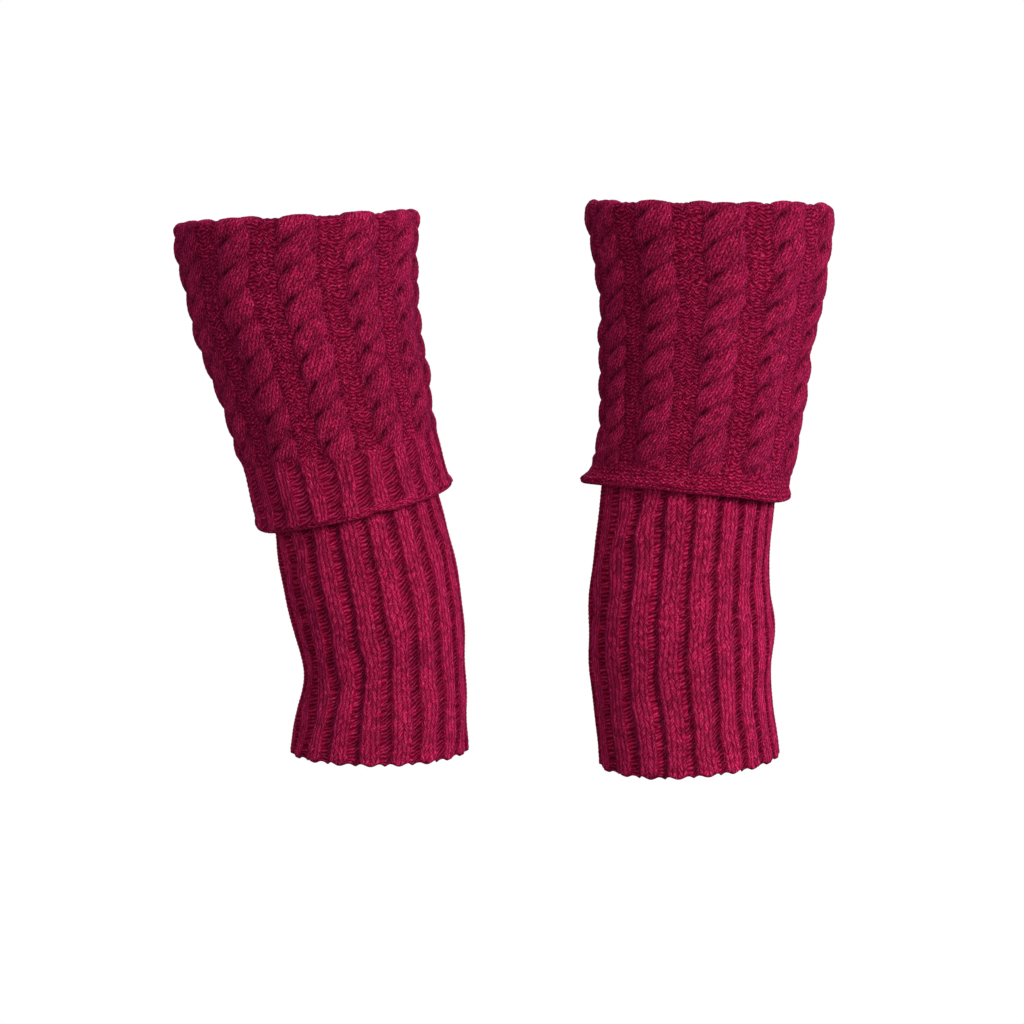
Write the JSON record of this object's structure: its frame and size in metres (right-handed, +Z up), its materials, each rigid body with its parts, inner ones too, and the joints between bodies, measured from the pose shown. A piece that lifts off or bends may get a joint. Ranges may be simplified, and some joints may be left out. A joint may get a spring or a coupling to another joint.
{
  "type": "pair of knitted leg warmers",
  "caption": "Pair of knitted leg warmers in their worn shape: ribbed tubes, open at top and bottom, with deep turned-down cable-knit cuffs that end in a rolled edge.",
  "frame": {"origin": "midway between the two calves that the leg warmers sit on, level with their folded rims", "axes": "+X across the pair to the right as seen from the front, +Y from front to back, +Z up along the legs"},
  "size_m": [0.3435, 0.1364, 0.2965],
  "materials": {
    "rib_knit": "raspberry 2x2 rib knit, matt and slightly fuzzy",
    "cable_knit": "raspberry cable knit, matt and slightly fuzzy",
    "plain_knit": "raspberry plain knit, rolled, matt and slightly fuzzy"
  },
  "bodies": {
    "root": {"left_rib_tube": "rib_knit", "left_cable_cuff": "cable_knit", "left_rolled_hem": "plain_knit", "right_rib_tube": "rib_knit", "right_cable_cuff": "cable_knit", "right_rolled_hem": "plain_knit"}
  },
  "joints": []
}
